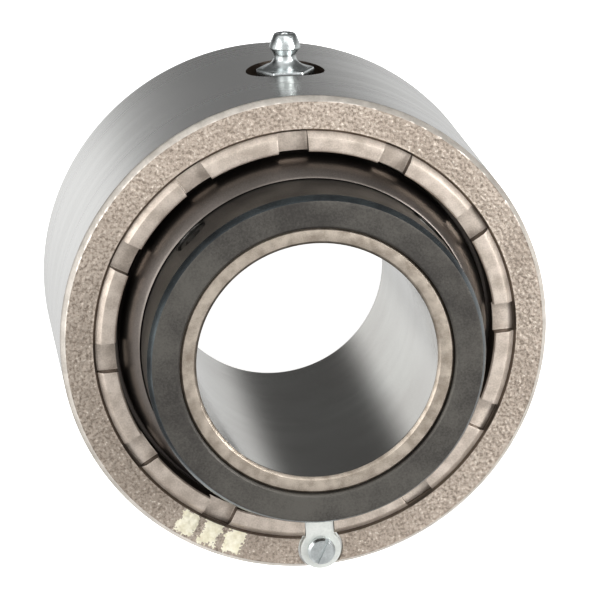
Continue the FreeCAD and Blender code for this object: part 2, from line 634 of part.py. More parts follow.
def make_check_spring():
    """Coil spring between the seat in the fitting and the ball."""
    wire, coil = SIZES["wire_radius"], SIZES["coil_radius"]
    low = SIZES["spring_seat"] + wire + SIZES["ball_gap"]
    high = number(BALL_CENTRE) - math.sqrt(
        max((SIZES["ball_radius"] + wire) ** 2 - coil ** 2, 0.0)) - 2 * SIZES["ball_gap"]
    helix = Part.makeHelix((high - low) / SIZES["coil_turns"], high - low, coil)
    section = Part.Wire(Part.makeCircle(wire, FreeCAD.Vector(coil, 0, 0), Y_AXIS))
    spring = doc.addObject("Part::Feature", "check_spring")
    spring.Label = "check_spring"
    spring.Shape = Part.Wire(helix).makePipeShell([section], True, True)
    place_by(spring, ("0", f"{POCKET_FLOOR} + {low}", "0"), X_AXIS, "-90")
    return spring


# The whole unit

PIECES = [
    make_housing(),
    make_adjusting_nut(),
    make_cup("cup_front", 1),
    make_cup("cup_rear", -1),
    make_front_shield(),
    make_rear_shield(),
    make_lip("seal_lip_front", 1, SHIELD_WEB),
    make_lip("seal_lip_rear", -1, d(f"( {SHIELD_WEB} + dish_rise )")),
    make_inner_ring(),
    make_locking_collar(),
    make_setscrew("setscrew_right", d("screw_azimuth")),
    make_setscrew("setscrew_left", d("( screw_azimuth + screw_angle )")),
    make_cage("cage_front", 1),
    make_cage("cage_rear", -1),
    make_lock_tab(),
    make_lock_screw(),
    make_grease_fitting(),
    make_check_ball(),
    make_check_spring(),
]
for index in range(int(SIZES["roller_count"])):
    turn = d(f"( 360 / roller_count * {index} )")
    PIECES.append(make_roller(f"roller_front_{index + 1:02d}", 1, turn))
    PIECES.append(make_roller(f"roller_rear_{index + 1:02d}", -1, turn))

doc.recompute()

for item in doc.Objects:
    bad = [state for state in item.State if state in ("Invalid", "Error")]
    if bad:
        raise RuntimeError(f"{item.Label} is {bad}")

for piece in PIECES:
    shape = piece.Shape
    if shape.isNull() or not shape.isValid() or len(shape.Solids) != 1:
        raise RuntimeError(f"{piece.Label} has no valid single solid")

os.makedirs("parts", exist_ok=True)
for piece in PIECES:
    piece.Shape.exportStep(os.path.join("parts", f"{piece.Label}.step"))
    print(f"{piece.Label}: {piece.Shape.Volume / 1000:.3f} cm3")
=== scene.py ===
"""Looks of a self-aligning roller bearing in a cylindrical cartridge housing.

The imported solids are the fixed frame. The visible turned, pressed and cast pieces are modelled
again here with rounded edges and cast relief, every other solid gets its finish, and a pale
studio with one long-lens camera is set up round them. Lengths are millimetres until a mesh is made.
"""

import logging
import math
from dataclasses import dataclass, field
from enum import Enum
from typing import Callable, Iterable, Sequence

import bpy
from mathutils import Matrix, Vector, noise


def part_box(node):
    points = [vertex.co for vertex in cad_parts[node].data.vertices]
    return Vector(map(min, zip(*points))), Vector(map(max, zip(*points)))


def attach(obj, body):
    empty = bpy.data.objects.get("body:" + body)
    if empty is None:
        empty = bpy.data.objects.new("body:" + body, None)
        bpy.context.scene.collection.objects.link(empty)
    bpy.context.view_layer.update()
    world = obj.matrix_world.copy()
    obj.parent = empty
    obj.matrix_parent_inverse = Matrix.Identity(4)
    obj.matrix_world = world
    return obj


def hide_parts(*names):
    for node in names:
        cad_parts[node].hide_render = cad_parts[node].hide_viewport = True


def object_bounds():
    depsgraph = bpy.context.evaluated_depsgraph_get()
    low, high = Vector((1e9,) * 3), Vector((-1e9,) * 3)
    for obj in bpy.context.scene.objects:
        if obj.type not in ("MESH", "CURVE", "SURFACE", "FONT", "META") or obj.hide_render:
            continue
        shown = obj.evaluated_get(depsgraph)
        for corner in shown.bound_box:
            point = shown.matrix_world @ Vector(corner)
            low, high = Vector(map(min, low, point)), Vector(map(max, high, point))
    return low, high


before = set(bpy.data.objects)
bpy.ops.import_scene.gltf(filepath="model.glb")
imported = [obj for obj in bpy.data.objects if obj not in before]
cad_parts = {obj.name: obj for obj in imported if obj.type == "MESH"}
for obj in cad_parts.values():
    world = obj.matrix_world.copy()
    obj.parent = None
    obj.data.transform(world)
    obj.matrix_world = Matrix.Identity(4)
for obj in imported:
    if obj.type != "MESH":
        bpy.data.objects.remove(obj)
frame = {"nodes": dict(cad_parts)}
CAD_BOX = [list(corner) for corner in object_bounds()]

logging.basicConfig(level=logging.INFO, format="%(levelname)s %(message)s")
LOG = logging.getLogger("bearing")

MM = 0.001
SUPPORT_FROM = 2.4
SUPPORT_INSET = 0.6
MERGE_DISTANCE = 0.002
HOLE_STEPS = 64
TAB_AZIMUTH = -86.9
SCREW_AZIMUTHS = (44.5, 134.5)
SCREW_HEIGHT = 36.0
WHITE = (1.0, 1.0, 1.0, 1.0)
Point = tuple[float, float]
Colour = tuple[float, float, float]
Place = tuple[float, float, float]


class Body(Enum):
    """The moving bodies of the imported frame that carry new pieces."""

    CARTRIDGE = "cartridge"
    SEALS = "seals"
    SHAFT_SIDE = "shaft_side"


class Region(Enum):
    """Surfaces of the housing that have a finish of their own."""

    TURNED = 0
    CAST = 1
    # Painted shade for the hollows of the housing.
    INSIDE = 2
    PAINT = 3
    EDGE = 4


def tone(red: float, green: float, blue: float) -> tuple[float, float, float, float]:
    """Turns a display colour into the linear one that a shader socket takes.

    Args:
        red: Display value from 0 to 1.
        green: Display value from 0 to 1.
        blue: Display value from 0 to 1.

    Returns:
        Linear colour with full alpha.
    """
    linear = [c / 12.92 if c <= 0.04045 else ((c + 0.055) / 1.055) ** 2.4 for c in (red, green, blue)]
    return (*linear, 1.0)


def around(distance: float, azimuth: float) -> Point:
    """Returns the x and y of a place at a distance from the bore axis."""
    swing = math.radians(azimuth)
    return distance * math.cos(swing), distance * math.sin(swing)


def size_of(node: str) -> tuple[Vector, Vector]:
    """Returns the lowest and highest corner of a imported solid, in millimetres."""
    low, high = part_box(node)
    return Vector(low) / MM, Vector(high) / MM


# Hand tools: selection, turning, cutting and rounding

def clear_selection() -> None:
    """Leaves edit mode and deselects everything."""
    if bpy.context.object and bpy.context.object.mode != "OBJECT":
        bpy.ops.object.mode_set(mode="OBJECT")
    bpy.ops.object.select_all(action="DESELECT")


def pick(piece: bpy.types.Object) -> None:
    """Selects one piece alone and makes it active.

    Args:
        piece: The piece.
    """
    clear_selection()
    piece.select_set(True)
    bpy.context.view_layer.objects.active = piece


def arc_points(centre: Point, radius: float, start: float, end: float, count: int) -> list[Point]:
    """Draws an arc of a profile.

    Args:
        centre: Centre as radius and height.
        radius: Arc radius.
        start: First angle in degrees.
        end: Last angle in degrees.
        count: Number of steps.

    Returns:
        Profile points from start to end.
    """
    angles = [math.radians(start + (end - start) * step / count) for step in range(count + 1)]
    return [(centre[0] + radius * math.cos(a), centre[1] + radius * math.sin(a)) for a in angles]


def supported(profile: Sequence[Point]) -> list[Point]:
    """Adds a point near each end of every long side, so that rounded corners don't tint its shading.

    Args:
        profile: Corners of a closed outline.

    Returns:
        The corners with the added points.
    """
    points = []
    for start, end in zip(profile, [*profile[1:], profile[0]]):
        points.append(start)
        length = math.dist(start, end)
        if length > SUPPORT_FROM:
            for share in (SUPPORT_INSET / length, 1 - SUPPORT_INSET / length):
                points.append((start[0] + (end[0] - start[0]) * share,
                               start[1] + (end[1] - start[1]) * share))
    return points


def lathe(name: str, profile: Sequence[Point], steps: int) -> bpy.types.Object:
    """Draws a closed profile point by point and spins it once round the bore axis.

    Args:
        name: Name of the new piece.
        profile: Corners as radius and height, in order.
        steps: Number of spin steps.

    Returns:
        The turned piece.
    """
    profile = supported(profile)
    clear_selection()
    bpy.ops.mesh.primitive_plane_add(size=MM, location=(0, 0, 0))
    piece = bpy.context.object
    piece.name = name
    piece.data.name = name
    bpy.ops.object.mode_set(mode="EDIT")
    bpy.ops.mesh.merge(type="CENTER")
    bpy.ops.transform.translate(value=(profile[0][0] * MM, 0, profile[0][1] * MM))
    for before, after in zip(profile, profile[1:]):
        step = ((after[0] - before[0]) * MM, 0, (after[1] - before[1]) * MM)
        bpy.ops.mesh.extrude_region_move(TRANSFORM_OT_translate={"value": step})
    bpy.ops.object.mode_set(mode="OBJECT")
    for index, vertex in enumerate(piece.data.vertices):
        vertex.select = index in (0, len(profile) - 1)
    bpy.ops.object.mode_set(mode="EDIT")
    bpy.ops.mesh.edge_face_add()
    bpy.ops.mesh.select_all(action="SELECT")
    bpy.ops.mesh.spin(steps=steps, angle=2 * math.pi, center=(0, 0, 0), axis=(0, 0, 1))
    bpy.ops.mesh.select_all(action="SELECT")
    bpy.ops.mesh.remove_doubles(threshold=MERGE_DISTANCE * MM)
    bpy.ops.mesh.normals_make_consistent(inside=False)
    bpy.ops.object.mode_set(mode="OBJECT")
    return piece


def block(size: Sequence[float], place: Sequence[float], azimuth: float) -> bpy.types.Object:
    """Makes a cutting block at a place, swung round the bore axis.

    Args:
        size: Lengths along the radial, sideways and bore directions.
        place: Centre before the swing.
        azimuth: Swing in degrees.

    Returns:
        The block.
    """
    clear_selection()
    swing = math.radians(azimuth)
    x = place[0] * math.cos(swing) - place[1] * math.sin(swing)
    y = place[0] * math.sin(swing) + place[1] * math.cos(swing)
    bpy.ops.mesh.primitive_cube_add(size=1, location=(x * MM, y * MM, place[2] * MM),
                                    rotation=(0, 0, swing), scale=[length * MM for length in size])
    return bpy.context.object


def drill(radius: float, start: Sequence[float], end: Sequence[float],
          steps: int = HOLE_STEPS) -> bpy.types.Object:
    """Makes a round cutter between two points.

    Args:
        radius: Radius of the cutter.
        start: One end.
        end: The other end.
        steps: Sides of the circle.

    Returns:
        The cutter.
    """
    clear_selection()
    line = Vector(end) - Vector(start)
    middle = (Vector(start) + Vector(end)) / 2 * MM
    bpy.ops.mesh.primitive_cylinder_add(vertices=steps, radius=radius * MM, depth=line.length * MM,
                                        location=middle, rotation=line.to_track_quat("Z", "Y").to_euler())
    return bpy.context.object


def apply_modifier(piece: bpy.types.Object, kind: str, **settings: object) -> None:
    """Adds a modifier with its settings and applies it at once.

    Args:
        piece: The piece.
        kind: Modifier type.
        settings: Properties of the modifier.
    """
    pick(piece)
    modifier = piece.modifiers.new(kind.lower(), kind)
    for key, value in settings.items():
        setattr(modifier, key, value)
    bpy.ops.object.modifier_apply(modifier=modifier.name)


def cut(piece: bpy.types.Object, cutters: Iterable[bpy.types.Object]) -> None:
    """Takes the cutters' space out of a piece and removes them.

    Args:
        piece: The piece.
        cutters: Closed solids to take away, one after the other.
    """
    for cutter in cutters:
        apply_modifier(piece, "BOOLEAN", operation="DIFFERENCE", solver="EXACT", object=cutter)
        bpy.data.objects.remove(cutter)


def round_edges(piece: bpy.types.Object, width: float, segments: int = 2, angle: float = 25.0) -> None:
    """Rounds the sharp edges of a piece and shades the rest smooth.

    Args:
        piece: The piece.
        width: Width of the rounding.
        segments: Steps across the rounding.
        angle: Smallest angle in degrees that counts as sharp.
    """
    apply_modifier(piece, "BEVEL", width=width * MM, segments=segments, limit_method="ANGLE",
                   angle_limit=math.radians(angle), miter_outer="MITER_ARC")
    smooth(piece)


def smooth(piece: bpy.types.Object, angle: float = 35.0) -> None:
    """Shades a piece smooth except across sharp angles."""
    pick(piece)
    bpy.ops.object.shade_smooth_by_angle(angle=math.radians(angle))


def settle(piece: bpy.types.Object, body: Body, slot: str, *nodes: str) -> None:
    """Lets a finished piece ride on its body and stand for its solids.

    Args:
        piece: The finished piece.
        body: Body that carries it.
        slot: Material slot of the record, not used.
        nodes: Solids that it stands for.
    """
    pick(piece)
    bpy.ops.object.transform_apply(location=True, rotation=True, scale=True)
    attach(piece, body.value)
    if nodes:
        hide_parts(*nodes)
    LOG.info("%s: %d faces on %s", piece.name, len(piece.data.polygons), body.value)


# Shared shader groups

class Shader:
    """A node tree with short ways to add and join nodes."""

    def __init__(self, tree: bpy.types.NodeTree) -> None:
        """Keeps the node tree."""
        self.tree = tree

    def add(self, kind: str, inputs: dict | None = None, **settings: object) -> bpy.types.Node:
        """Adds a node.

        Args:
            kind: Node type without its ShaderNode prefix.
            inputs: Socket name or index to a value or to an output socket.
            settings: Properties of the node.

        Returns:
            The node.
        """
        node = self.tree.nodes.new("ShaderNode" + kind)
        for key, value in settings.items():
            setattr(node, key, value)
        for key, value in (inputs or {}).items():
            if isinstance(value, bpy.types.NodeSocket):
                self.join(value, node.inputs[key])
            else:
                node.inputs[key].default_value = value
        return node

    def join(self, output: object, target: object) -> None:
        """Links an output socket to an input socket."""
        self.tree.links.new(output, target)

    def math(self, operation: str, first: object, second: object) -> object:
        """Joins two values by a math node and returns its output."""
        return self.add("Math", {0: first, 1: second}, operation=operation).outputs[0]

    def span(self, value: object, low: float, high: float, out_low: float = 0.0,
             out_high: float = 1.0) -> object:
        """Maps a value's range smoothly to another.

        Args:
            value: Output socket that gives the value.
            low: Start of the range.
            high: End of the range.
            out_low: Result at and before the start.
            out_high: Result at and after the end.

        Returns:
            The output socket with the result.
        """
        node = self.add("MapRange", {"Value": value, "From Min": low, "From Max": high,
                                     "To Min": out_low, "To Max": out_high},
                        interpolation_type="SMOOTHSTEP")
        return node.outputs["Result"]

    def blend(self, share: object, first: object, second: object) -> object:
        """Mixes two colours.

        Args:
            share: Share of the second colour, as a socket or a value.
            first: First colour, as a socket or a value.
            second: Second colour, as a socket or a value.

        Returns:
            The output socket with the mixed colour.
        """
        return self.add("Mix", {0: share, 6: first, 7: second}, data_type="RGBA").outputs[2]


def new_group(name: str, inputs: dict[str, float],
              outputs: Sequence[str]) -> tuple[Shader, object, object]:
    """Makes an empty shader group.

    Args:
        name: Group name.
        inputs: Float inputs with their defaults.
        outputs: Names of the float outputs.

    Returns:
        The shader helper, the group input node and the group output node.
    """
    tree = bpy.data.node_groups.new(name, "ShaderNodeTree")
    tree.interface.new_socket(name="Vector", in_out="INPUT", socket_type="NodeSocketVector")
    for key, value in inputs.items():
        socket = tree.interface.new_socket(name=key, in_out="INPUT", socket_type="NodeSocketFloat")
        socket.default_value = value
    for key in outputs:
        tree.interface.new_socket(name=key, in_out="OUTPUT", socket_type="NodeSocketFloat")
    return Shader(tree), tree.nodes.new("NodeGroupInput"), tree.nodes.new("NodeGroupOutput")


def turned_rings_group() -> bpy.types.NodeTree:
    """Makes the fine rings that a lathe tool leaves, from the radius and the bore axis.

    Returns:
        The group, with the rings' height and a broad streak.
    """
    shader, given, result = new_group("turned_rings", {"Pitch": 0.25}, ("Height", "Streak"))
    parts = shader.add("SeparateXYZ", {0: given.outputs["Vector"]})
    flat = shader.add("CombineXYZ", {"X": parts.outputs["X"], "Y": parts.outputs["Y"]})
    radius = shader.add("VectorMath", {0: flat.outputs[0]}, operation="LENGTH").outputs["Value"]
    scale = shader.math("DIVIDE", 1.0 / MM, given.outputs["Pitch"])
    along = shader.add("CombineXYZ", {"X": shader.math("MULTIPLY", radius, scale),
                                      "Z": shader.math("MULTIPLY", parts.outputs["Z"], scale)})
    fine = shader.add("TexNoise", {"Vector": along.outputs[0], "Scale": 1.0, "Detail": 3.0,
                                   "Roughness": 0.6})
    broad = shader.add("TexNoise", {"Vector": along.outputs[0], "Scale": 0.09, "Detail": 2.0})
    shader.join(fine.outputs[0], result.inputs["Height"])
    shader.join(broad.outputs[0], result.inputs["Streak"])
    return shader.tree


def grain_group() -> bpy.types.NodeTree:
    """Makes an even grain from the object's own coordinates.

    Returns:
        The group, with the grain's height and a slow blotch.
    """
    shader, given, result = new_group("grain", {"Size": 0.5, "Blotch": 9.0}, ("Height", "Blotch"))
    fine_scale = shader.math("DIVIDE", 1.0 / MM, given.outputs["Size"])
    slow_scale = shader.math("DIVIDE", 1.0 / MM, given.outputs["Blotch"])
    place = given.outputs["Vector"]
    fine = shader.add("TexNoise", {"Vector": place, "Scale": fine_scale, "Detail": 4.0,
                                   "Roughness": 0.62})
    slow = shader.add("TexNoise", {"Vector": place, "Scale": slow_scale, "Detail": 3.0})
    shader.join(fine.outputs[0], result.inputs["Height"])
    shader.join(slow.outputs[0], result.inputs["Blotch"])
    return shader.tree


GROUPS: dict[str, bpy.types.NodeTree] = {}


def shared(name: str, make: Callable[[], bpy.types.NodeTree]) -> bpy.types.NodeTree:
    """Finds a shader group, or makes it the first time.

    Args:
        name: Name under which it is kept.
        make: Function that makes it.

    Returns:
        The group.
    """
    if name not in GROUPS:
        GROUPS[name] = make()
    return GROUPS[name]


# Finishes

DRIFT_SHARE = 0.6
GRAIN_SHARE = 0.4
BUMP_SCALE = 10.0
BUMP_STRENGTH = 0.5
MADE: dict[str, bpy.types.Material] = {}


@dataclass(frozen=True)
class Finish:
    """A metal finish: two tones that drift into each other, grain and lathe rings.

    Attributes:
        name: Material name.
        dark: Darker display tone.
        light: Lighter display tone.
        roughness: Mean roughness.
        metallic: Metallic share.
        grain: Grain size in millimetres.
        bump: Grain height in millimetres.
        blotch: Size of the slow colour drift in millimetres.
        pitch: Pitch of the lathe rings in millimetres.
        rings: Height of the lathe rings in millimetres.
        spread: Range over which the roughness drifts.
    """

    name: str
    dark: Colour
    light: Colour
    roughness: float
    metallic: float = 1.0
    grain: float = 0.3
    bump: float = 0.004
    blotch: float = 12.0
    pitch: float = 0.3
    rings: float = 0.0
    spread: float = 0.08

    def material(self) -> bpy.types.Material:
        """Makes the finish as a material, once.

        Returns:
            The material. Packed slots may carry the same name, so it is kept apart from them.
        """
        if self.name in MADE:
            return MADE[self.name]
        material = bpy.data.materials.new(self.name)
        material.use_nodes = True
        shader = Shader(material.node_tree)
        surface = material.node_tree.nodes["Principled BSDF"]
        surface.inputs["Metallic"].default_value = self.metallic
        place = shader.add("TexCoord").outputs["Object"]
        grain = shader.add("Group", node_tree=shared("grain", grain_group))
        shader.join(place, grain.inputs["Vector"])
        grain.inputs["Size"].default_value = self.grain
        grain.inputs["Blotch"].default_value = self.blotch
        rings = shader.add("Group", node_tree=shared("turned_rings", turned_rings_group))
        shader.join(place, rings.inputs["Vector"])
        rings.inputs["Pitch"].default_value = self.pitch
        self.colour(shader, surface, grain, rings)
        self.relief(shader, surface, grain, rings)
        MADE[self.name] = material
        return material

    def colour(self, shader: Shader, surface: object, grain: object, rings: object) -> None:
        """Feeds base colour and roughness.

        Args:
            shader: Helper of the material's node tree.
            surface: Surface node.
            grain: Node of the grain group.
            rings: Node of the ring group.
        """
        drift = shader.math("MULTIPLY", grain.outputs["Blotch"], DRIFT_SHARE)
        fleck = shader.math("MULTIPLY", grain.outputs["Height"], GRAIN_SHARE)
        mask = shader.span(shader.math("ADD", drift, fleck), 0.34, 0.66)
        tones = shader.blend(mask, tone(*self.dark), tone(*self.light))
        shader.join(tones, surface.inputs["Base Color"])
        uneven = shader.span(rings.outputs["Streak"], 0.3, 0.7, self.roughness - self.spread / 2,
                             self.roughness + self.spread / 2)
        shader.join(uneven, surface.inputs["Roughness"])

    def relief(self, shader: Shader, surface: object, grain: object, rings: object) -> None:
        """Feeds the normal with grain and lathe rings.

        Args:
            shader: Helper of the material's node tree.
            surface: Surface node.
            grain: Node of the grain group.
            rings: Node of the ring group.
        """
        bump = shader.add("Bump", {"Height": grain.outputs["Height"],
                                   "Distance": self.bump * MM * BUMP_SCALE,
                                   "Strength": BUMP_STRENGTH})
        if self.rings:
            bump = shader.add("Bump", {"Height": rings.outputs["Height"],
                                       "Distance": self.rings * MM * BUMP_SCALE,
                                       "Strength": BUMP_STRENGTH, "Normal": bump.outputs[0]})
        shader.join(bump.outputs[0], surface.inputs["Normal"])


@dataclass(frozen=True)
class CastSkin(Finish):
    """Sand-cast skin on a warm grey, with painted shade in the low grain spots and painted glints on the
    high ones.

    Attributes:
        pit_shade: Display tone of the painted shade in the low grain spots.
        grain_glint: Display tone of the painted glints on the high grain spots.
    """

    pit_shade: Colour = (0.50, 0.45, 0.40)
    grain_glint: Colour = (0.88, 0.84, 0.79)

    def colour(self, shader: Shader, surface: object, grain: object, rings: object) -> None:
        """Feeds base colour and roughness.

        Args:
            shader: Helper of the material's node tree.
            surface: Surface node.
            grain: Node of the grain group.
            rings: Node of the ring group, without a part in this skin's colour.
        """
        mask = shader.span(grain.outputs["Blotch"], 0.3, 0.7)
        ground = shader.blend(mask, tone(*self.dark), tone(*self.light))
        # Low grain spots get painted shade and high ones painted glints, from the bump's own height.
        pit_shaded = shader.blend(shader.span(grain.outputs["Height"], 0.52, 0.36), ground, tone(*self.pit_shade))
        glint_share = shader.span(grain.outputs["Height"], 0.58, 0.72)
        shader.join(shader.blend(glint_share, pit_shaded, tone(*self.grain_glint)), surface.inputs["Base Color"])
        surface.inputs["Roughness"].default_value = self.roughness


TURNED_IRON = Finish("turned_iron", (0.86, 0.86, 0.85), (0.90, 0.90, 0.89), 0.26, grain=0.5, bump=0.001,
                     blotch=40.0, pitch=0.35, rings=0.001, spread=0.03)
CAST_FACE = CastSkin("cast_face", (0.62, 0.57, 0.52), (0.69, 0.64, 0.59), 0.56, metallic=0.3, grain=0.6,
                     bump=0.04)
# Lighter edge finish: the housing's outer chamfer, and a painted highlight on the nut's notch edges.
EDGE_IRON = Finish("edge_iron", (0.82, 0.79, 0.75), (0.93, 0.90, 0.86), 0.38, metallic=0.8, grain=0.5,
                   bump=0.006, blotch=3.0)
NUT_IRON = Finish("nut_iron", (0.70, 0.65, 0.60), (0.86, 0.81, 0.76), 0.40, metallic=0.7, grain=0.35,
                  bump=0.008, blotch=3.5)
SHIELD_STEEL = Finish("shield_steel", (0.37, 0.35, 0.33), (0.47, 0.44, 0.42), 0.34, bump=0.001,
                      blotch=20.0)
BLACK_OXIDE = Finish("black_oxide", (0.25, 0.24, 0.23), (0.37, 0.36, 0.34), 0.46, metallic=0.8,
                     grain=0.4, bump=0.004, pitch=0.5, rings=0.002)
OXIDE_EDGE = Finish("oxide_edge", (0.29, 0.31, 0.32), (0.41, 0.44, 0.45), 0.24, metallic=0.9,
                    bump=0.002, blotch=5.0)
GROUND_STEEL = Finish("ring_face_steel", (0.58, 0.535, 0.485), (0.78, 0.735, 0.68), 0.40, grain=0.2,
                      bump=0.005, blotch=2.6, pitch=0.2, rings=0.003)
BORE_STEEL = Finish("bore_steel", (0.66, 0.65, 0.63), (0.72, 0.72, 0.70), 0.15, bump=0.0005, blotch=25.0,
                    pitch=0.3, rings=0.0004, spread=0.03)
# Pale finish of the collar's hole rims and thread rings: worn bare metal and a painted glint.
WORN_EDGE_AND_GLINT = Finish("worn_edge_and_glint", (0.45, 0.44, 0.43), (0.75, 0.74, 0.72), 0.3, blotch=1.5)
TAB_ZINC = Finish("tab_zinc", (0.86, 0.87, 0.85), (0.93, 0.94, 0.92), 0.42, metallic=0.75, grain=0.4,
                  bump=0.002, blotch=3.0)
ZINC = Finish("zinc", (0.72, 0.74, 0.74), (0.84, 0.86, 0.86), 0.28, grain=0.4, bump=0.002, blotch=2.0)
ROLLER_STEEL = Finish("roller_steel", (0.70, 0.70, 0.70), (0.80, 0.80, 0.80), 0.14, bump=0.0005)
CAGE_STEEL = Finish("cage_steel", (0.45, 0.45, 0.45), (0.55, 0.55, 0.54), 0.40)
# Dark finish that paints shade into hollows, notch walls and the gaps inside the housing and nut.
PAINTED_SHADE_IRON = Finish("painted_shade_iron", (0.35, 0.31, 0.28), (0.45, 0.41, 0.37), 0.5)
RUBBER = Finish("moulded_rubber", (0.10, 0.10, 0.10), (0.14, 0.14, 0.14), 0.6, metallic=0.0,
                bump=0.002)
PAD_PAINT = Finish("pad_paint", (0.86, 0.83, 0.72), (0.94, 0.92, 0.84), 0.55, metallic=0.0, grain=0.4,
                   bump=0.01, blotch=1.5)


def dress(piece: bpy.types.Object, *finishes: Finish) -> None:
    """Gives a piece its finishes, one for each material slot.

    Args:
        piece: The piece.
        finishes: Finishes in the order of the slots.
    """
    piece.data.materials.clear()
    for finish in finishes:
        piece.data.materials.append(finish.material())


# Sub-assemblies

@dataclass
class Housing:
    """Cast cartridge: turned outside, rough cast front face with pads, stepped bore.

    Attributes:
        steps: Spin steps, fine enough for the cast relief.
        face_pitch: Spacing of the face's rings in millimetres.
        waves: Size and height share of each layer of the cast relief.
        pore: Size and depth share of its pores.
        face_depth: Depth below the front within which a face counts as cast.
        slack: Tolerance when a face is matched to its surface.
    """

    steps: int = 1080
    face_pitch: float = 0.24
    chamfer: float = 1.3
    corner: float = 0.35
    mouth: float = 0.5
    thread: float = 45.05
    seat: float = 44.3
    cup_back: float = 20.1
    thread_start: float = 18.5
    groove: float = 43.0
    groove_end: float = 24.0
    lip: float = 40.7
    grain_height: float = 0.26
    waves: tuple[Point, ...] = ((0.5, 0.8), (0.95, 0.6), (3.5, 0.45))
    pore: Point = (0.34, 0.4)
    face_depth: float = 0.45
    slack: float = 0.02
    pad_height: float = 0.28
    pad_place: float = 48.1
    pad_half: Point = (2.5, 1.8)
    pad_azimuths: tuple[float, ...] = (-123.0, -116.5, -110.0)
    pip: Point = (47.1, -146.0)
    pip_radius: float = 1.1
    tab: Point = (48.1, TAB_AZIMUTH)
    spot_radius: float = 4.9
    spot_depth: float = 1.0
    tab_hole: float = 2.11
    tab_hole_depth: float = 8.0
    pocket_radius: float = 8.6
    pocket_floor: float = 49.9
    pocket_steps: int = 96
    fitting_hole: float = 4.93
    shade_angle: float = 40.0
    radius: float = field(init=False)
    front: float = field(init=False)

    def __post_init__(self) -> None:
        """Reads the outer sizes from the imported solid."""
        low, high = size_of("housing")
        self.radius = high.x
        self.front = -low.z

    def profile(self) -> list[Point]:
        """Draws the closed outline with many points across the cast face.

        Returns:
            Corners as radius and height.
        """
        inner, outer = self.thread + self.mouth, self.radius - self.chamfer
        count = round((outer - inner) / self.face_pitch)
        face = [(inner + (outer - inner) * step / count, self.front) for step in range(count + 1)]
        soft = self.corner
        slope_end = self.front - self.chamfer
        top = [(outer + soft * 0.7, self.front - soft * 0.3),
               (outer + soft * 1.4, self.front - soft * 1.1),
               (self.radius - soft * 0.5, slope_end + soft * 0.2),
               (self.radius - soft * 0.1, slope_end - soft * 0.4),
               (self.radius, slope_end - soft * 1.1), (self.radius, slope_end - soft * 2.5)]
        bottom = [(across, -height) for across, height in reversed(top)]
        return face + top + bottom + [
            (self.radius - self.chamfer, -self.front), (self.lip + self.mouth, -self.front),
            (self.lip, self.mouth - self.front), (self.lip, -self.groove_end),
            (self.groove, -self.groove_end), (self.groove, -self.cup_back),
            (self.seat, -self.cup_back), (self.seat, self.thread_start),
            (self.thread, self.thread_start), (self.thread, self.front - self.mouth),
        ]

    def pad_share(self, x: float, y: float, ragged: float) -> float:
        """Measures how far a point lies inside a raised pad.

        Args:
            x: Place in millimetres.
            y: Place in millimetres.
            ragged: Shift of the border in millimetres.

        Returns:
            Distance inside the nearest border in millimetres, negative outside.
        """
        best = -math.inf
        for azimuth in self.pad_azimuths:
            swing = math.radians(azimuth)
            along = x * math.cos(swing) + y * math.sin(swing) - self.pad_place
            across = y * math.cos(swing) - x * math.sin(swing)
            best = max(best, min(self.pad_half[0] - abs(along), self.pad_half[1] - abs(across)) + ragged)
        return best

    def pip_share(self, x: float, y: float) -> float:
        """Returns how far a point lies inside the round pip, in millimetres."""
        return self.pip_radius - math.dist((x, y), around(*self.pip))

    def relief_height(self, x: float, y: float) -> float:
        """Works out the height of the cast relief at a point of the front face.

        Args:
            x: Place in millimetres.
            y: Place in millimetres.

        Returns:
            Height over the face in millimetres, with pads and pip.
        """
        place = Vector((x, y, 0.0))
        height = sum(noise.noise(place / size) * share for size, share in self.waves)
        height -= abs(noise.noise(place / self.pore[0])) * self.pore[1]
        pad = max(0.0, min(1.0, self.pad_share(x, y, 0.0) / 0.45 + 0.4))
        pip = max(0.0, min(1.0, self.pip_share(x, y) / 0.35 + 0.3))
        return height * self.grain_height + self.pad_height * max(pad, pip)

    def roughen(self, piece: bpy.types.Object) -> None:
        """Moves the points of the front face to a cast relief with raised pads.

        Args:
            piece: The turned housing.
        """
        inner, outer = self.thread + self.mouth, self.radius - self.chamfer
        for vertex in piece.data.vertices:
            x, y, z = vertex.co / MM
            if z < self.front - 0.01:
                continue
            across = math.hypot(x, y)
            fade = min(1.0, (across - inner) / 0.35)
            edge = max(0.0, 1.0 - (outer - across) / 0.3)
            height = (self.relief_height(x, y) - self.grain_height * 0.4) * fade
            shrink = 1.0 - edge * height / across * 0.9
            vertex.co = (x * shrink * MM, y * shrink * MM, (self.front + height) * MM)

    def region(self, x: float, y: float, z: float) -> Region:
        """Finds the surface region of a place.

        Args:
            x: Place in millimetres.
            y: Place in millimetres.
            z: Place in millimetres.

        Returns:
            The region.
        """
        across = math.hypot(x, y)
        pocket = y > 0 and math.hypot(x, z) < self.pocket_radius + 0.05 and across < self.radius - 0.01
        mouth = (across < self.thread + self.mouth - self.slack
                 and z > self.front - self.mouth - self.slack)
        if across > self.radius - self.chamfer + 0.3 and z > self.front - self.chamfer - self.corner:
            return Region.EDGE
        # The fitting pocket and the bore mouth get painted shade.
        if pocket or mouth:
            return Region.INSIDE
        if z > self.front - self.face_depth:
            ragged = noise.noise(Vector((x, y, 3.0)) / 0.5) * 0.9 + noise.noise(Vector((x, y, 8.0)) / 1.4)
            painted = self.pad_share(x, y, 0.15 + ragged * 0.8) > 0
            return Region.PAINT if painted else Region.CAST
        # The bore behind the thread gets painted shade.
        if across < self.thread + 0.3 and abs(z) < self.front - 0.3:
            return Region.INSIDE
        return Region.TURNED

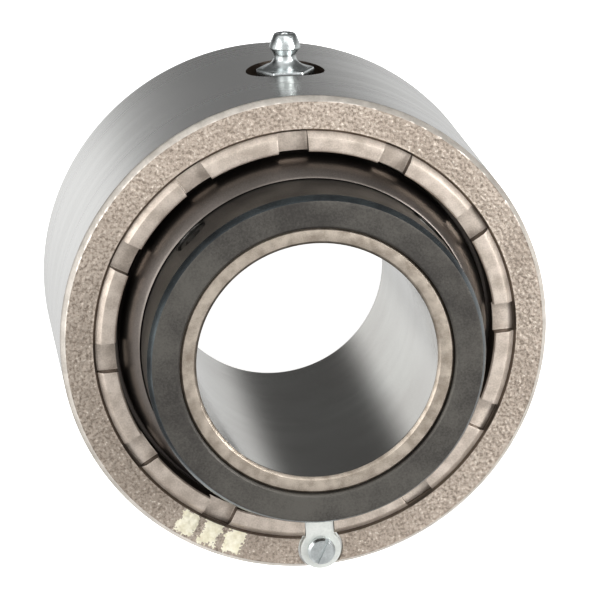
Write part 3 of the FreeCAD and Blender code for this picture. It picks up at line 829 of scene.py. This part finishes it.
    def build(self) -> bpy.types.Object:
        """Builds and dresses the housing.

        Returns:
            The finished piece.
        """
        piece = lathe("housing_casting", self.profile(), self.steps)
        self.roughen(piece)
        spot = self.front - self.spot_depth
        tab = around(*self.tab)
        cut(piece, [
            drill(self.spot_radius, (*tab, spot), (*tab, spot + 5)),
            drill(self.tab_hole, (*tab, spot - self.tab_hole_depth), (*tab, spot + 1)),
            drill(self.pocket_radius, (0, self.pocket_floor, 0), (0, self.radius + 2, 0),
                  self.pocket_steps),
            drill(self.fitting_hole, (0, self.seat - 2, 0), (0, self.pocket_floor + 1, 0)),
        ])
        smooth(piece, self.shade_angle)
        dress(piece, TURNED_IRON, CAST_FACE, PAINTED_SHADE_IRON, PAD_PAINT, EDGE_IRON)
        for polygon in piece.data.polygons:
            polygon.material_index = self.region(*(polygon.center / MM)).value
        settle(piece, Body.CARTRIDGE, "turned_cast_iron", "housing")
        return piece


@dataclass
class AdjustingNut:
    """Ring nut with notches across its front face.

    Attributes:
        wall_lean: Share of a face's normal that points round the bore, from which it gets painted shade
            as a notch wall.
        edge_lean: The same share, from which it gets a painted highlight as a notch edge.
    """

    steps: int = 360
    notches: int = 12
    notch_width: float = 6.4
    notch_depth: float = 2.6
    bore: float = 40.7
    chamfer: float = 1.2
    bore_edge: float = 0.3
    groove: float = 43.0
    groove_end: float = 24.0
    edge_round: float = 0.28
    wall_lean: float = 0.9
    edge_lean: float = 0.25

    def dress_faces(self, piece: bpy.types.Object, front: float) -> None:
        """Paints shade on the inner and notch walls and a highlight on the notch edges.

        Args:
            piece: The cut nut.
            front: Height of its front face.
        """
        dress(piece, NUT_IRON, PAINTED_SHADE_IRON, EDGE_IRON)
        for polygon in piece.data.polygons:
            x, y, z = polygon.center / MM
            across = math.hypot(x, y)
            lean = abs(polygon.normal.y * x - polygon.normal.x * y) / across
            inner = across < self.bore + 0.02 or z < front - self.notch_depth - 0.3
            painted_shade = inner or lean > self.wall_lean
            # Hollow surfaces and notch walls get painted shade, the rounded notch edges a painted
            # highlight.
            polygon.material_index = 1 if painted_shade else 2 if lean > self.edge_lean else 0

    def build(self) -> bpy.types.Object:
        """Builds and dresses the nut.

        Returns:
            The finished piece.
        """
        low, high = size_of("adjusting_nut")
        outer, front, back = high.x, high.z, low.z
        piece = lathe("notched_nut", [
            (self.bore + self.bore_edge, front), (outer - self.chamfer, front),
            (outer, front - self.chamfer), (outer, back), (self.groove, back),
            (self.groove, self.groove_end), (self.bore, self.groove_end),
            (self.bore, front - self.bore_edge)], self.steps)
        size = (outer - self.bore + 4, self.notch_width, self.notch_depth * 2)
        middle = ((self.bore + outer) / 2, 0, front)
        cut(piece, [block(size, middle, TAB_AZIMUTH + 360 / self.notches * turn)
                    for turn in range(self.notches)])
        round_edges(piece, self.edge_round)
        self.dress_faces(piece, front)
        settle(piece, Body.CARTRIDGE, "plain_iron", "adjusting_nut")
        return piece


@dataclass
class FrontShield:
    """Pressed shield whose hood curves in to the collar."""

    steps: int = 256
    flange: float = 42.3
    flange_back: float = 21.55
    flange_face: float = 22.55
    wall_radius: float = 39.7
    wall: float = 0.9
    web: float = 22.2
    bore: float = 30.4
    rim: float = 36.0
    rise: float = 8.6
    hood_steps: int = 14
    edge_round: float = 0.15

    def profile(self) -> list[Point]:
        """Draws the closed outline of flange, curved hood and web.

        Returns:
            Corners as radius and height.
        """
        front = size_of("seal_front")[1].z
        waist = front - self.rise
        lean = self.wall_radius - self.rim
        radius = (lean ** 2 + self.rise ** 2) / (2 * lean)
        centre = (self.wall_radius - radius, waist)
        inner = radius - self.wall
        outer_end = math.degrees(math.asin(self.rise / radius))
        inner_end = math.degrees(math.acos((self.rim - centre[0]) / inner))
        profile = [(self.flange, self.flange_face), (self.wall_radius, self.flange_face)]
        profile += arc_points(centre, radius, 0, outer_end, self.hood_steps)
        profile += arc_points(centre, inner, inner_end, 0, self.hood_steps)
        inside = self.wall_radius - self.wall
        return profile + [(inside, self.web + self.wall), (self.bore, self.web + self.wall),
                          (self.bore, self.web), (inside, self.web), (self.flange, self.flange_back)]

    def build(self) -> bpy.types.Object:
        """Builds and dresses the shield.

        Returns:
            The finished piece.
        """
        piece = lathe("front_hood", self.profile(), self.steps)
        round_edges(piece, self.edge_round)
        dress(piece, SHIELD_STEEL)
        settle(piece, Body.SEALS, "dark_pressed_steel", "seal_front")
        return piece


@dataclass
class LockingCollar:
    """Collar on the extended ring, drilled for two setscrews.

    Attributes:
        slope: Length of the front chamfer along the bore.
        thread_starts: Distances from the axis at which a thread ring starts.
        worn_glint_area: Largest face, in square millimetres, that gets the hole edges' pale finish of
            wear and painted glint.
    """

    steps: int = 256
    bore: float = 29.0
    chamfer: float = 0.9
    slope: float = 1.8
    edge: float = 0.4
    hole: float = 4.02
    thread_depth: float = 0.35
    thread_land: float = 0.3
    thread_starts: tuple[float, ...] = (34.1, 34.7, 35.3)
    worn_glint_area: float = 0.4
    edge_round: float = 0.1

    def bore_screw_hole(self, piece: bpy.types.Object, azimuth: float) -> None:
        """Drills a setscrew hole with its thread rings.

        Args:
            piece: The turned collar.
            azimuth: Place round the bore in degrees.
        """
        rings = [drill(self.hole + self.thread_depth, (*around(start, azimuth), SCREW_HEIGHT),
                       (*around(start + self.thread_land, azimuth), SCREW_HEIGHT))
                 for start in self.thread_starts]
        hole = drill(self.hole, (*around(20, azimuth), SCREW_HEIGHT),
                     (*around(40, azimuth), SCREW_HEIGHT))
        cut(piece, [hole, *rings])

    def at_hole_edge(self, x: float, y: float, z: float) -> bool:
        """Tells whether a place lies at the rim or in the thread rings of a setscrew hole.

        Args:
            x: Place in millimetres.
            y: Place in millimetres.
            z: Place in millimetres.

        Returns:
            True at such a place.
        """
        for azimuth in SCREW_AZIMUTHS:
            east, north = around(1.0, azimuth)
            across = math.hypot(y * east - x * north, z - SCREW_HEIGHT)
            outside = self.hole - 0.1 < across < self.hole + self.thread_depth - 0.05
            if outside and x * east + y * north > 0:
                return True
        return False

    def build(self) -> bpy.types.Object:
        """Builds and dresses the collar.

        Returns:
            The finished piece.
        """
        low, high = size_of("locking_collar")
        radius = high.x
        piece = lathe("setscrew_collar", [
            (self.bore + self.edge, high.z), (radius - self.chamfer, high.z),
            (radius, high.z - self.slope), (radius, low.z + self.edge), (radius - self.edge, low.z),
            (self.bore, low.z), (self.bore, high.z - self.edge)], self.steps)
        for azimuth in SCREW_AZIMUTHS:
            self.bore_screw_hole(piece, azimuth)
        round_edges(piece, self.edge_round)
        dress(piece, BLACK_OXIDE, WORN_EDGE_AND_GLINT, OXIDE_EDGE)
        for polygon in piece.data.polygons:
            x, y, z = polygon.center / MM
            if math.hypot(x, y) > radius - self.chamfer and z > high.z - self.slope:
                polygon.material_index = 2
            # Hole rims and thread rings get the pale finish of wear and painted glint.
            if polygon.area < self.worn_glint_area * MM ** 2 and self.at_hole_edge(x, y, z):
                polygon.material_index = 1
        settle(piece, Body.SHAFT_SIDE, "black_steel", "locking_collar")
        return piece


@dataclass
class InnerRing:
    """Extended inner ring with its spherical race."""

    steps: int = 256
    edge: float = 0.5
    bore_chamfer: float = 0.6
    race: float = 33.5
    race_steps: int = 24
    outer: float = 28.9
    bore: float = 25.4
    hole: float = 4.02
    edge_round: float = 0.1

    def build(self) -> bpy.types.Object:
        """Builds and dresses the ring.

        Returns:
            The finished piece.
        """
        low, high = size_of("inner_ring")
        foot = math.degrees(math.acos(self.outer / self.race))
        profile = [(self.bore + self.bore_chamfer, low.z), (self.outer - self.edge, low.z),
                   (self.outer, low.z + self.edge)]
        profile += arc_points((0.0, 0.0), self.race, -foot, foot, self.race_steps)
        profile += [(self.outer, high.z - self.edge), (self.outer - self.edge, high.z),
                    (self.bore + self.bore_chamfer, high.z), (self.bore, high.z - self.bore_chamfer),
                    (self.bore, low.z + self.bore_chamfer)]
        piece = lathe("extended_ring", profile, self.steps)
        cut(piece, [drill(self.hole, (*around(15, azimuth), SCREW_HEIGHT),
                          (*around(35, azimuth), SCREW_HEIGHT)) for azimuth in SCREW_AZIMUTHS])
        round_edges(piece, self.edge_round)
        dress(piece, GROUND_STEEL, BORE_STEEL)
        for polygon in piece.data.polygons:
            across = math.hypot(polygon.center.x, polygon.center.y) / MM
            polygon.material_index = 1 if across < self.bore + 0.05 else 0
        settle(piece, Body.SHAFT_SIDE, "ground_steel", "inner_ring")
        return piece


@dataclass
class GreaseFitting:
    """Hexagon nipple with a curved skirt, a waist and a tapered head.

    It is drawn upright and then laid over, so its heights start at the foot of the hexagon.
    """

    steps: int = 96
    foot: float = 49.9
    flats: float = 11.1
    hex_height: float = 2.6
    skirt: float = 5.1
    neck: float = 2.45
    neck_low: float = 4.9
    neck_high: float = 5.4
    head: float = 3.35
    head_low: float = 7.0
    head_high: float = 7.4
    tip: float = 2.3
    height: float = 10.2
    shank: float = 4.9
    shank_low: float = -4.7
    channel: float = 0.95
    tip_edge: float = 0.25
    hex_round: float = 0.3
    edge_round: float = 0.15

    def profile(self) -> list[Point]:
        """Draws the closed outline above and below the hexagon.

        Returns:
            Corners as radius and height.
        """
        rise = self.neck_low - self.hex_height
        skirt = [(self.skirt - (self.skirt - self.neck) * (1 - (1 - share) ** 1.7),
                  self.hex_height + rise * share ** 1.25)
                 for share in (0.0, 0.12, 0.3, 0.5, 0.7, 0.85, 1.0)]
        waist = [(self.neck + (self.head - self.neck) * share ** 1.6,
                  self.neck_high + (self.head_low - self.neck_high) * share)
                 for share in (0.0, 0.25, 0.5, 0.75, 1.0)]
        head = [(self.head - (self.head - self.tip) * share ** 1.3,
                 self.head_high + (self.height - self.head_high) * share)
                for share in (0.0, 0.35, 0.7, 0.97)]
        return [(self.channel, self.shank_low), (self.shank, self.shank_low), (self.shank, 0.2),
                *skirt, *waist, *head, (self.tip - self.tip_edge, self.height),
                (self.channel + self.tip_edge, self.height), (self.channel, self.height - 0.3)]

    def build(self) -> bpy.types.Object:
        """Builds and dresses the fitting.

        Returns:
            The finished piece.
        """
        clear_selection()
        bpy.ops.mesh.primitive_cylinder_add(
            vertices=6, radius=self.flats / math.sqrt(3) * MM, depth=self.hex_height * MM,
            location=(0, 0, self.hex_height / 2 * MM), rotation=(0, 0, math.pi / 6))
        hexagon = bpy.context.object
        bpy.ops.object.transform_apply(location=True, rotation=True, scale=True)
        round_edges(hexagon, self.hex_round)
        piece = lathe("hexagon_nipple", self.profile(), self.steps)
        round_edges(piece, self.edge_round, segments=1)
        hexagon.select_set(True)
        bpy.ops.object.join()
        piece.location = (0, self.foot * MM, 0)
        piece.rotation_euler = (-math.pi / 2, 0, 0)
        dress(piece, ZINC)
        settle(piece, Body.CARTRIDGE, "zinc_plate", "grease_fitting")
        return piece


@dataclass(frozen=True)
class SmallParts:
    """The remaining solids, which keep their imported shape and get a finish."""

    finishes: tuple[tuple[str, Finish], ...] = (
        ("cup_", ROLLER_STEEL), ("roller_", ROLLER_STEEL), ("check_ball", ROLLER_STEEL),
        ("cage_", CAGE_STEEL), ("check_spring", CAGE_STEEL), ("seal_lip_", RUBBER),
        ("seal_rear", SHIELD_STEEL), ("setscrew_", BLACK_OXIDE), ("lock_tab", TAB_ZINC),
        ("lock_screw", ZINC),
    )

    def dress_all(self, nodes: dict[str, bpy.types.Object]) -> None:
        """Gives every solid whose name starts with a key its finish.

        Args:
            nodes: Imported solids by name.
        """
        for name, node in nodes.items():
            for start, finish in self.finishes:
                if name.startswith(start):
                    dress(node, finish)
                    LOG.info("%s: %s", name, finish.name)


# Studio

@dataclass(frozen=True)
class Lamp:
    """A soft rectangular lamp that points at the object.

    Attributes:
        name: Lamp name.
        place: Place in metres.
        size: Width and height in metres.
        power: Power in watts.
    """

    name: str
    place: Place
    size: tuple[float, float]
    power: float

    def build(self) -> None:
        """Adds the lamp."""
        light = bpy.data.lights.new(self.name, "AREA")
        light.shape = "RECTANGLE"
        light.size, light.size_y = self.size
        light.energy = self.power
        lamp = bpy.data.objects.new(self.name, light)
        bpy.context.scene.collection.objects.link(lamp)
        lamp.location = self.place
        lamp.rotation_euler = (-Vector(self.place)).to_track_quat("-Z", "Y").to_euler()


@dataclass(frozen=True)
class Fade:
    """A level of the world that changes smoothly along a direction.

    Attributes:
        along: Direction.
        start: Where the change starts.
        end: Where it ends.
        first: Level up to the start.
        last: Level from the end.
    """

    along: Place
    start: float
    end: float
    first: float = 0.0
    last: float = 1.0

    def output(self, shader: Shader, place: object) -> object:
        """Adds the fade to a world.

        Args:
            shader: Helper of the world's node tree.
            place: Output socket with the direction looked at.

        Returns:
            The output socket with the level.
        """
        lean = shader.add("VectorMath", {0: place, 1: self.along}, operation="DOT_PRODUCT")
        return shader.span(lean.outputs["Value"], self.start, self.end, self.first, self.last)


@dataclass(frozen=True)
class Studio:
    """Pale floor, soft lamps, plain world and the camera.

    Attributes:
        lens: Focal length in millimetres.
        sensor: Sensor width in millimetres.
        far_end: Farthest distance drawn, in metres.
        place: Camera place in millimetres.
        turn: Camera turn in degrees.
        floor_size: Side of the floor in metres.
        floor_grey: Grey level of the floor.
        floor_roughness: Roughness of the floor.
        floor_glow: Strength that makes the floor white to the camera.
        lamps: The soft lamps.
        upper: Level of the world above the horizon.
        sides: Levels below it, which are multiplied with each other.
        low_left: Darker low left, which metal that leans sees.
        near: Where low_left ends towards the horizon.
        horizon: Share of the upper level.
    """

    lens: float = 206.93
    sensor: float = 36.0
    far_end: float = 20.0
    place: Place = (-92.48, 210.38, 727.79)
    turn: Place = (-15.912, -7.649, -0.725)
    floor_size: float = 6.0
    floor_grey: float = 0.86
    floor_roughness: float = 0.9
    floor_glow: float = 0.92
    lamps: tuple[Lamp, ...] = (
        Lamp("left_softbox", (-1.1, 0.25, 0.75), (1.0, 1.0), 8.0),
        Lamp("right_softbox", (0.42, 0.16, 0.36), (0.3, 0.3), 2.8),
        Lamp("front_softbox", (0.8, -0.2, 1.0), (0.8, 0.8), 2.5),
        Lamp("top_softbox", (0.3, 1.1, 1.1), (1.2, 0.7), 5.0),
    )
    upper: Fade = Fade((-0.75, 0.25, 0.35), -0.7, 0.8, 0.25, 0.95)
    sides: tuple[Fade, Fade] = (Fade((-1.0, -0.1, 0.0), 0.18, 0.31, 0.79, 1.12),
                                Fade((0.0, 1.0, 0.0), 0.04, 0.25, 1.0, 0.15))
    low_left: Fade = Fade((-1.0, -0.1, 0.0), 0.35, 0.6, 1.0, 0.15)
    near: Fade = Fade((0.0, 0.0, 1.0), -0.45, -0.2)
    horizon: Fade = Fade((0.0, 0.0, 1.0), -0.15, 0.05)

    def build(self) -> None:
        """Sets up everything round the object."""
        bpy.context.scene.view_settings.view_transform = "Standard"
        self.floor()
        self.world()
        for lamp in self.lamps:
            lamp.build()
        self.camera()

    def floor(self) -> None:
        """Adds the pale floor under the housing, which mirrored rays pass."""
        clear_selection()
        bpy.ops.mesh.primitive_plane_add(size=self.floor_size, location=(0, 0, CAD_BOX[0][2]))
        floor = bpy.context.object
        floor.name = "studio_floor"
        material = bpy.data.materials.new("studio_floor")
        material.use_nodes = True
        shader = Shader(material.node_tree)
        surface = material.node_tree.nodes["Principled BSDF"]
        surface.inputs["Base Color"].default_value = (*[self.floor_grey] * 3, 1.0)
        surface.inputs["Roughness"].default_value = self.floor_roughness
        surface.inputs["Emission Color"].default_value = WHITE
        rays = shader.add("LightPath").outputs
        seen = shader.math("MULTIPLY", rays["Is Camera Ray"], self.floor_glow)
        shader.join(seen, surface.inputs["Emission Strength"])
        mirrored = shader.math("MAXIMUM", rays["Is Glossy Ray"], rays["Is Transmission Ray"])
        clear = shader.add("BsdfTransparent")
        mix = shader.add("MixShader", {0: mirrored, 1: surface.outputs[0], 2: clear.outputs[0]})
        shader.join(mix.outputs[0], material.node_tree.nodes["Material Output"].inputs["Surface"])
        floor.data.materials.append(material)

    def world(self) -> None:
        """Sets a plain pale world that is white to the camera."""
        world = bpy.data.worlds.new("studio")
        bpy.context.scene.world = world
        world.use_nodes = True
        shader = Shader(world.node_tree)
        background = world.node_tree.nodes["Background"]
        rays = shader.add("LightPath")
        place = shader.add("TexCoord").outputs["Generated"]
        pale, shade = (fade.output(shader, place) for fade in self.sides)
        low = shader.math("MAXIMUM", self.low_left.output(shader, place),
                          self.near.output(shader, place))
        lower = shader.math("MULTIPLY", shader.math("MULTIPLY", pale, shade), low)
        share, upper = self.horizon.output(shader, place), self.upper.output(shader, place)
        level = shader.add("Mix", {0: share, 2: lower, 3: upper}).outputs[0]
        strength = shader.math("MAXIMUM", level, rays.outputs["Is Camera Ray"])
        shader.join(strength, background.inputs["Strength"])
        background.inputs["Color"].default_value = WHITE

    def camera(self) -> None:
        """Adds the long-lens camera at the fitted place."""
        camera = bpy.data.objects.new("camera", bpy.data.cameras.new("camera"))
        bpy.context.scene.collection.objects.link(camera)
        camera.data.lens = self.lens
        camera.data.sensor_width = self.sensor
        camera.data.clip_end = self.far_end
        camera.location = [value * MM for value in self.place]
        camera.rotation_euler = [math.radians(value) for value in self.turn]
        bpy.context.scene.camera = camera


def main() -> None:
    """Builds the sub-assemblies in order, dresses the rest and sets up the studio."""
    clear_selection()
    SmallParts().dress_all(frame["nodes"])
    for part in (Housing(), AdjustingNut(), FrontShield(), LockingCollar(), InnerRing(),
                 GreaseFitting()):
        part.build()
    Studio().build()


if __name__ == "__main__":
    main()
